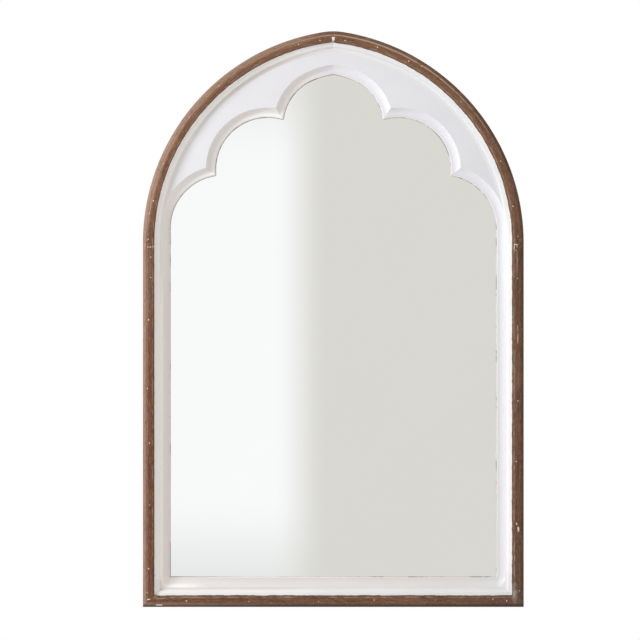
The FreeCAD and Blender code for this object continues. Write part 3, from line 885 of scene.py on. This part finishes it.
def stained_wood(tree):
    """Brown stain over a close grain, rubbed at its arrises, with painted sheen and shade on its sides and
    rims and painted shadow in the seam beside the paint.
    """
    here = wood_spot(tree)
    colour = blend(step(here.tone, 0.38, 0.62), (0.075, 0.026, 0.0095), (0.215, 0.094, 0.043))
    for layers in (grain_layers, side_layers, mottle_layers, arris_layers, seam_layers):
        colour = layered(colour, *layers(here))
    return coat(colour, plus(0.42, here.fine, 0.24),
                (here.streak, 0.3, 0.0006), (here.pores, 0.4, 0.0003), (here.chips, 0.15, 0.0002))


# White paint

def glass_line(here):
    """The brown line at the edge of the glass: the board's bare edge and painted shadow beside it, wider and
    darker on the upper left and at the lower left corner.
    """
    inset, across, height = here.inset, here.across, here.height
    # Painted shadow widens the line on the upper left and darkens it at the lower left corner.
    upper_left_shadow = times(step(height, 0.03, 0.09), step(across, 0.05, -0.05))
    edge = times(step(plus(inset, upper_left_shadow, -0.3), 1.6, 1.1), step(here.level, 9.5, 8.98))
    sill = step(height, -0.42, -0.47)
    corner = times(sill, step(across, -0.1, -0.2))
    dashes = speckle(here.place, 38.0, 5.0, 0.65)
    darkness = calc("MAXIMUM", step(plus(dashes, corner, 0.2), 0.5, 0.62), times(upper_left_shadow, 0.3))
    faint = times(sill, line(across, -0.09, 0.2))
    return times(edge, plus(0.85, faint, -0.6)), blend(darkness, (0.56, 0.51, 0.48), (0.18, 0.14, 0.12))


def white_paint(tree, low, high, peel_strength):
    """Matt white paint, with painted shade in the quirk and a painted highlight on the lip. The board's back
    has none.
    """
    here = spot_of(tree)
    cloud = speckle(here.place, 9.0, 3.0)
    grain = speckle(here.place, 900.0, 3.0, 0.6)
    peel = speckle(here.place, 380.0, 3.0)
    moulded = step(here.level, 12.0, 11.0)
    colour = layered(
        blend(step(cloud, 0.3, 0.7), low, high),
        (times(step(grain, 0.55, 0.75), 0.12), (0.7, 0.68, 0.66)),
        # Painted shade in the quirk and a painted highlight on the lip.
        (times(line(here.inset, 3.3, 0.9), moulded, 0.22), (0.5, 0.45, 0.44)),
        (times(line(here.inset, 1.95, 0.9), moulded, 0.75), (0.9, 0.885, 0.875)),
        glass_line(here),
        (step(here.level, 2.6, 1.6), blend(grain, (0.42, 0.31, 0.2), (0.55, 0.43, 0.29))),
    )
    return coat(colour, plus(0.46, peel, 0.2), (peel, peel_strength, 0.0003), (grain, 0.15, 0.0001))


def painted_corner_light(here):
    """Painted light and shade at the lower corners: on the left the cove lighter, painted shadow on the flat
    beside it and a painted highlight on its arris; on the right the cove and the flat lighter.
    """
    low = step(here.height, -0.486, -0.498)
    left = times(low, step(here.across, -0.256, -0.268))
    right = times(low, step(here.across, 0.262, 0.27))
    flat, cove = step(here.inset, 15.6, 16.6), step(here.inset, 15.6, 14.6)
    return [
        (times(left, cove, 0.9), (0.86, 0.835, 0.81)), (times(left, flat, 0.8), (0.75, 0.71, 0.665)),
        (times(left, line(here.inset, 15.6, 1.4)), (0.95, 0.93, 0.91)),
        (times(right, cove, 0.6), (0.84, 0.83, 0.83)), (times(right, flat), (0.88, 0.865, 0.865)),
    ]


def panel_paint(tree):
    """The panel's paint: painted warm bounce light in the coves on the left with a painted highlight near the
    glass high up, darker and warmer low down, and a painted highlight on the left stile's cove edge.
    """
    here = spot_of(tree)
    # Painted bounce light: a warm tint in the coves on the left, and a painted highlight near the glass high
    # up.
    left_cove_bounce = times(step(here.inset, 15.8, 15.0), step(here.across, 0.0, -0.05))
    near_glass_highlight = times(step(here.inset, 11.5, 2.5), step(here.height, 0.08, 0.14))
    left_bounce_tint = layered(
        blend(step(here.height, 0.17, 0.13), (0.775, 0.756, 0.755), (0.825, 0.803, 0.798)),
        (near_glass_highlight, (0.96, 0.945, 0.945)))
    # Painted highlight on the outer edge of the left stile's cove, low down.
    left_arris_highlight = times(step(here.inset, 9.0, 15.0), step(here.across, -0.2, -0.24))
    low_tint = layered(
        blend(step(here.across, -0.24, -0.2), (0.78, 0.754, 0.744), (0.745, 0.718, 0.722)),
        (step(here.across, 0.18, 0.27), (0.742, 0.742, 0.757)), (left_arris_highlight, (0.92, 0.893, 0.877)))
    layers = [(left_cove_bounce, left_bounce_tint), (step(here.height, 0.02, -0.06), low_tint)] + painted_corner_light(here)
    tones = [layered(plain, *layers) for plain in ((0.76, 0.765, 0.803), (0.785, 0.792, 0.832))]
    return white_paint(tree, *tones, 0.35)


def rail_paint(tree):
    """The rails' paint: lighter along the stiles and the left arch than elsewhere, with painted shadow at the
    foot on the left and painted shade on the lit bead of the right arch.
    """
    here = spot_of(tree)
    inset, across, height = here.inset, here.across, here.height
    stile = times(step(height, -0.5, -0.46), step(height, 0.12, 0.02))
    off_the_sill = calc("MAXIMUM", step(height, -0.502, -0.49), 0.35)
    lighter_part = calc("MAXIMUM", stile, times(step(across, 0.0, -0.06), off_the_sill))
    # Painted shadow at the frame's foot on the left, darker high up.
    foot_shadow = times(step(here.level, 19.6, 18.4), step(inset, 24.0, 25.5), step(across, 0.05, -0.12),
                  plus(0.4, step(height, 0.18, 0.34), 0.5))
    # Painted shade on the bead of the right arch, where the lamp lights it most.
    bead_shade = times(line(inset, 25.2, 2.2), step(across, 0.0, 0.08), step(height, 0.04, 0.1))
    low = layered((0.785, 0.785, 0.795), (lighter_part, (0.875, 0.87, 0.865)), (foot_shadow, (0.62, 0.57, 0.54)),
                  (bead_shade, (0.735, 0.738, 0.75)))
    high = layered((0.81, 0.812, 0.82), (lighter_part, (0.89, 0.888, 0.885)), (foot_shadow, (0.66, 0.62, 0.59)),
                   (bead_shade, (0.745, 0.748, 0.76)))
    return white_paint(tree, low, high, 0.1)


# Plain materials

def grainy(tree, scale, low, high, rough, bump):
    """A fine grain between two tints, with its least roughness and range, and its bumps."""
    grain = speckle(place_of(tree), scale)
    return coat(blend(grain, low, high), plus(rough[0], grain, rough[1]), (grain, *bump))


def filler(tree):
    return grainy(tree, 1800.0, (0.64, 0.54, 0.38), (0.87, 0.8, 0.66), (0.55, 0.3), (0.3, 0.0002))


def pale_filler(tree):
    return grainy(tree, 1500.0, (0.7, 0.67, 0.63), (0.86, 0.85, 0.82), (0.5, 0.3), (0.3, 0.0002))


def rubbed_paint(tree):
    return grainy(tree, 900.0, (0.3, 0.22, 0.17), (0.66, 0.6, 0.54), (0.5, 0.3), (0.3, 0.0001))


def dark_stain(tree):
    return grainy(tree, 900.0, (0.03, 0.017, 0.012), (0.085, 0.045, 0.028), (0.4, 0.3), (0.2, 0.0001))


def dark_rubber(tree):
    return grainy(tree, 1600.0, (0.018, 0.018, 0.019), (0.045, 0.045, 0.047), (0.6, 0.25), (0.3, 0.0001))


def zinc(tree):
    place = place_of(tree)
    brushed = speckle(stretched(place, (1.0, 1.0, 12.0)), 260.0)
    cloud = speckle(place, 420.0, 4.0)
    colour = blend(cloud, (0.52, 0.53, 0.54), (0.7, 0.7, 0.69))
    return coat(colour, plus(0.26, cloud, 0.22), (brushed, 0.12, 0.0001))


def silvered(tree):
    place = place_of(tree)
    colour = blend(speckle(place, 5.0, 2.0), (0.955, 0.96, 0.955), (0.97, 0.975, 0.97))
    return {"Base Color": colour, "Roughness": times(step(speckle(place, 14.0), 0.45, 0.9), 0.02)}


def hardboard(tree):
    place = place_of(tree)
    fibre = speckle(place, 700.0, 4.0, 0.65)
    cloud = speckle(place, 12.0, 4.0)
    colour = layered(blend(fibre, (0.2, 0.115, 0.062), (0.36, 0.225, 0.13)),
                     (step(cloud, 0.35, 0.75), (0.26, 0.155, 0.088)))
    return coat(colour, plus(0.62, fibre, 0.2), (cells(place, 520.0), 0.25, 0.0003), (fibre, 0.2, 0.0002))


def white_foam(tree):
    bubbles = cells(place_of(tree), 1400.0)
    colour = blend(bubbles, (0.62, 0.62, 0.6), (0.84, 0.84, 0.81))
    return coat(colour, plus(0.75, bubbles, 0.15), (bubbles, 0.5, 0.0002))


wood = surface("trim_stain", stained_wood, Specular_IOR_Level=0.35)
panel_white = surface("matt_white", panel_paint, Specular_IOR_Level=0.4)
rail_white = surface("frame_white", rail_paint, Specular_IOR_Level=0.4)
cream = surface("cream_putty", filler, Specular_IOR_Level=0.3)
pale = surface("pale_putty", pale_filler, Specular_IOR_Level=0.3)
rubbed_off = surface("rubbed_paint", rubbed_paint, Specular_IOR_Level=0.3)
dark = surface("dark_stain", dark_stain, Specular_IOR_Level=0.4)
steel = surface("zinc_plate", zinc, Metallic=1.0)
glass = surface("silvered_glass", silvered, Metallic=1.0)
brown_board = surface("brown_hardboard", hardboard, Specular_IOR_Level=0.3)
rubber = surface("black_rubber", dark_rubber, Specular_IOR_Level=0.4)
foam = surface("white_foam", white_foam, Specular_IOR_Level=0.2)


def dress(name, material):
    """Gives a solid that stays in view its material."""
    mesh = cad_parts[name].data
    if not mesh.materials:
        mesh.materials.append(material)
    for i in range(len(mesh.materials)):
        mesh.materials[i] = material


def build_mirror():
    for name, material in {
        "trim_brads": steel, "frame_v_nails": steel, "mirror_glass": glass,
        "cushion_tapes": foam, "backing_board": brown_board,
    }.items():
        dress(name, material)
    for name in RAILS:
        arched = "arch" in name
        steps = 150 if arched else 110
        edge, smoothness = TRIM_EDGES[name], 0.04 if arched else 0.1
        rail("trim", name, trim_profile(edge), steps, wood, "trim_wood", amount=0.22, sharp=34.0)
        rail("frame", name, FRAME_PROFILE, steps, rail_white, "white_paint", amount=smoothness, sharp=55.0)
    tracery_panel(panel_white)
    screws("backing_screws", steel)
    screws("hanger_screws", steel)
    bumpers(rubber)
    putty_dots(cream)
    apex_strip(pale)
    flecks("trim_filler_flecks", FILLER_FLECKS, cream, "putty")
    flecks("trim_paint_flecks", PAINT_FLECKS, rubbed_off, "putty")
    flecks("trim_dark_flecks", DARK_FLECKS, dark, "trim_wood")
    for side, word in ((-1, "left"), (1, "right")):
        hanger_strap(side, word + "_hanger_strap", steel)
        hanger_ring(side, word + "_hanger_ring", word + "_ring", steel)


# Light, floor and camera

VIEW_DISTANCE = 7.0
FLOOR_IN_MIRROR = (0.95, 0.955, 0.95)
FLOOR_HEIGHT, FLOOR_RADIUS = -1.25, 3.2


def lamp(name, place, size, power, colour=(1, 1, 1)):
    """A round soft lamp that points at the hook and isn't seen itself."""
    data = bpy.data.lights.new(name, "AREA")
    data.shape, data.size, data.energy, data.color = "DISK", size, power, colour
    made = bpy.data.objects.new(name, data)
    made.location = place
    made.rotation_mode = "QUATERNION"
    made.rotation_quaternion = (-Vector(place)).to_track_quat("-Z", "Y")
    made.visible_camera = False
    bpy.context.scene.collection.objects.link(made)


def mirrored_room(across, up):
    """What the glass shows: a light part on the left, a warm grey one on the right, and a floor."""
    place, height = times(across, VIEW_DISTANCE), times(up, VIEW_DISTANCE)
    window = times(step(height, 0.46, 0.24), step(height, -0.46, -0.28))
    return layered(
        blend(window, (0.78, 0.8, 0.785), (0.975, 0.98, 0.985)),
        (step(place, -0.075, 0.015), (0.718, 0.705, 0.662)), (step(across, 0.1, 0.8), (0.6, 0.555, 0.5)),
        (step(up, -0.085, -0.2), FLOOR_IN_MIRROR))


def studio_light(across, deep, up):
    """Cool light from the left and warm from the right, with less from in front, above and below."""
    in_front = times(step(deep, -0.5, -1.0), 0.8)
    poles = times(step(calc("ABSOLUTE", up), 0.25, 1.0), 0.45)
    return layered(
        blend(step(across, -1.0, 1.0), (0.955, 0.97, 0.99), (1.24, 1.13, 0.98)),
        (in_front, (0.465, 0.467, 0.5)), (poles, (0.36, 0.35, 0.345)))


def mirror_rays(path):
    return calc("MAXIMUM", path["Is Glossy Ray"], path["Is Transmission Ray"])


def world_light():
    """White for the camera, the plain room for the glass and studio light for all the rest."""
    world = bpy.data.worlds.new("studio")
    bpy.context.scene.world = world
    tree = empty_tree(world)
    path = node("LightPath", tree=tree).outputs
    across, deep, up = node("SeparateXYZ", {0: node("TexCoord", tree=tree).outputs["Generated"]}).outputs
    seen = node("Background", {"Color": (1, 1, 1, 1), "Strength": 1.0}, tree=tree)
    mirrored = node("Background", {"Color": mirrored_room(across, up), "Strength": 1.0})
    light = node("Background", {"Color": studio_light(across, deep, up), "Strength": 0.87})
    first = node("MixShader", {0: mirror_rays(path), 1: light.outputs[0], 2: mirrored.outputs[0]})
    last = node("MixShader", {0: path["Is Camera Ray"], 1: first.outputs[0], 2: seen.outputs[0]})
    node("OutputWorld", {"Surface": last.outputs[0]})


def floor_material():
    """Pale and matt, fading outwards into the white around it."""
    material = bpy.data.materials.new("pale_floor")
    tree = empty_tree(material)
    place = place_of(tree)
    away = node("VectorMath", {0: stretched(place, (1.0, 1.0, 0.0))}, operation="LENGTH").outputs["Value"]
    colour = blend(speckle(place, 60.0), (0.86, 0.86, 0.86), (0.9, 0.9, 0.895))
    matt = node("BsdfDiffuse", {"Color": colour})
    path = node("LightPath", tree=tree).outputs
    glow_colour = blend(path["Is Camera Ray"], FLOOR_IN_MIRROR, (1, 1, 1))
    glow = node("Emission", {"Color": glow_colour, "Strength": 1.0})
    share = times(step(away, 0.8, 2.6), calc("MAXIMUM", path["Is Camera Ray"], mirror_rays(path)))
    mixed = node("MixShader", {0: share, 1: matt.outputs[0], 2: glow.outputs[0]})
    node("OutputMaterial", {"Surface": mixed.outputs[0]})
    return material


def floor_piece():
    """A round floor, in rings of quads round a fan."""
    rings, count = 12, 64
    verts = [Vector((0, 0, FLOOR_HEIGHT))]
    for j in range(1, rings + 1):
        reach = FLOOR_RADIUS * j / rings
        for a in full_turn(count):
            verts.append(Vector((reach * cos(a), reach * sin(a), FLOOR_HEIGHT)))
    faces = [(0, 1 + i, 1 + (i + 1) % count) for i in range(count)]
    for j in range(rings - 1):
        faces += band(1 + (j + 1) * count, 1 + j * count, count)
    mesh = bpy.data.meshes.new("floor")
    mesh.from_pydata([tuple(v) for v in verts], [], faces)
    mesh.materials.append(floor_material())
    made = bpy.data.objects.new("floor", mesh)
    bpy.context.scene.collection.objects.link(made)


# The photo's scale at the trim's face, the size of the image, and where the photo shows the mirror's
# middle and its bottom edge
PIXEL, IMAGE, FACE_LEVEL = 1.601 * MM, 640, 27.0
MIDDLE_COLUMN, BOTTOM_ROW = 333.3, 607.1


def camera():
    """In front of the mirror, where the photograph was taken from."""
    data = bpy.data.cameras.new("camera")
    made = bpy.data.objects.new("camera", data)
    bpy.context.scene.collection.objects.link(made)
    x = (IMAGE / 2 - MIDDLE_COLUMN) * PIXEL
    z = (BOTTOM_ROW - IMAGE / 2) * PIXEL - HOOK_HEIGHT * MM
    made.location = (x, -(BACK_GAP + FACE_LEVEL) * MM - VIEW_DISTANCE, z)
    made.rotation_euler = (radians(90), 0, 0)
    data.sensor_width = 36.0
    data.lens = data.sensor_width * VIEW_DISTANCE / (PIXEL * IMAGE)
    data.clip_start, data.clip_end = 0.05, 50.0
    bpy.context.scene.camera = made


build_mirror()
lamp("key", (-1.85, -0.95, 0.72), size=0.6, power=31, colour=(0.97, 0.985, 1.0))
lamp("back_light", (0.8, 3.0, 1.2), size=2.2, power=40)
world_light()
floor_piece()
camera()
bpy.context.scene.view_settings.view_transform = "Standard"
